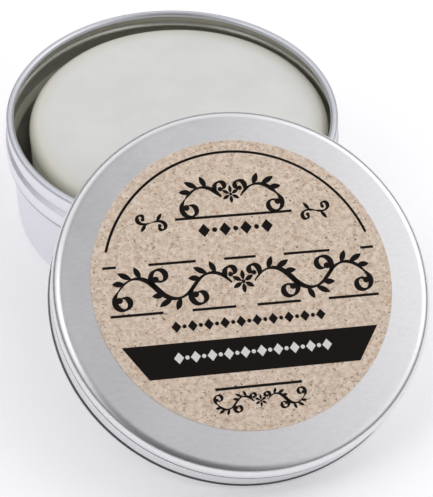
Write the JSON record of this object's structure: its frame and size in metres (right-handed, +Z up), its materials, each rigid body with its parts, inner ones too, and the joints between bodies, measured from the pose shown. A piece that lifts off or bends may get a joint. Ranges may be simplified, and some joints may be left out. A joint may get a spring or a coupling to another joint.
{
  "type": "shaving soap tin",
  "caption": "Open round drawn-aluminium tin with a loose shaving soap puck in it, its paper-labelled lid leaning on the rim.",
  "frame": {"origin": "middle of the footprint of the tin and its leaning lid, on the table", "axes": "+Z up from the table, -Y towards the leaning lid, +X to the right as seen from the lid's side"},
  "size_m": [0.1034, 0.137, 0.0471],
  "materials": {
    "tin_aluminium": "satin, bright inside",
    "lid_aluminium": "fine matt satin with a brushed grain",
    "soap": "smooth pressed soap, slightly waxy",
    "liner_foam": "fine closed-cell foam",
    "kraft_paper": "speckled uncoated kraft paper, printed in near black",
    "plain_paper": "matt white paper"
  },
  "bodies": {
    "tin": {"tin_body": "tin_aluminium", "base_label": "plain_paper"},
    "puck": {"soap_puck": "soap"},
    "lid": {"lid_shell": "lid_aluminium", "lid_liner": "liner_foam", "lid_label": "kraft_paper"}
  },
  "joints": [
    {"name": "puck_turn", "type": "hinge", "parent": "tin", "child": "puck", "pos_m": [-0.00809, 0.02761, 0.014], "axis": [0, 0, 1], "continuous": true},
    {"name": "lid_lift", "type": "slide", "parent": "tin", "child": "lid", "axis": [0.1405, -0.4103, 0.9011], "range_m": [0, 0.07]}
  ]
}
